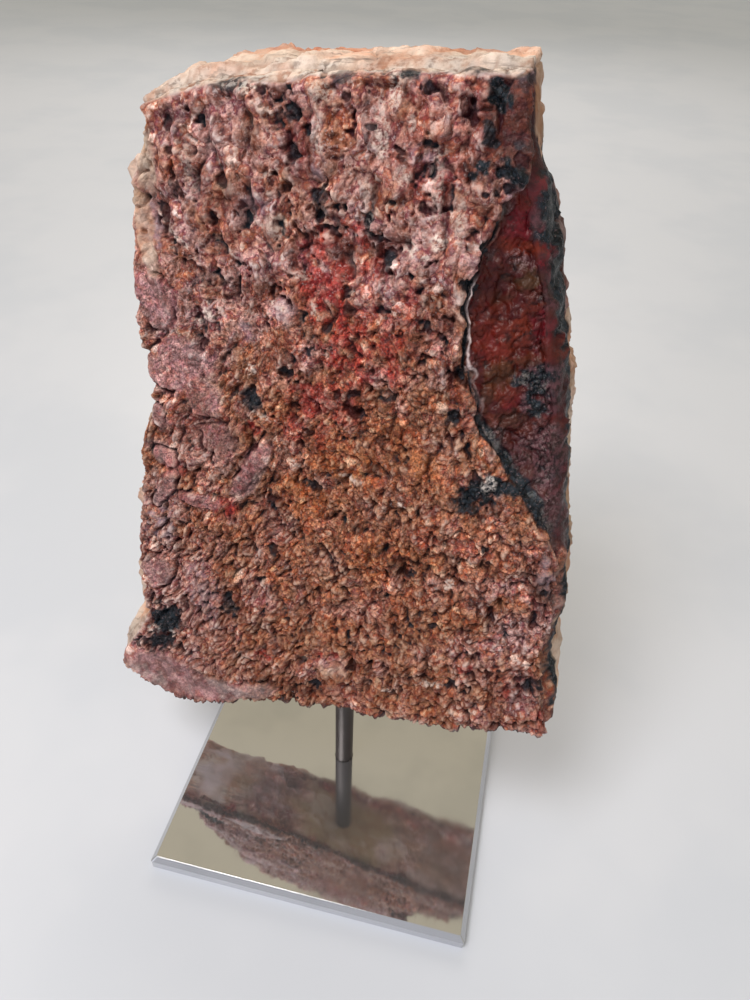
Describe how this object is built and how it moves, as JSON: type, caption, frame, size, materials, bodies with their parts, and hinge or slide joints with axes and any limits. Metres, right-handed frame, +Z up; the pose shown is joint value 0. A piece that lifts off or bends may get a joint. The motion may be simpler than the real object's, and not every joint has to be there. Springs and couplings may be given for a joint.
{
  "type": "mineral specimen on stand",
  "caption": "Thick slab of red-brown crusted mineral, leaning back on a steel rod that stands in a square polished steel plate.",
  "frame": {"origin": "middle of the plate's underside, which rests on the table", "axes": "+Z up along the rod, the front of the stone towards -Y, +X to the right as seen from the front"},
  "size_m": [0.2701, 0.2164, 0.4355],
  "materials": {
    "polished_steel": "mirror polished, bevelled round the top",
    "satin_steel": "drawn round bar, dull sheen",
    "crusted_stone": "rough grown crust, red-brown with ochre, crimson and black"
  },
  "bodies": {
    "root": {"base_plate": "polished_steel", "rod": "satin_steel", "stone": "crusted_stone"}
  },
  "joints": []
}
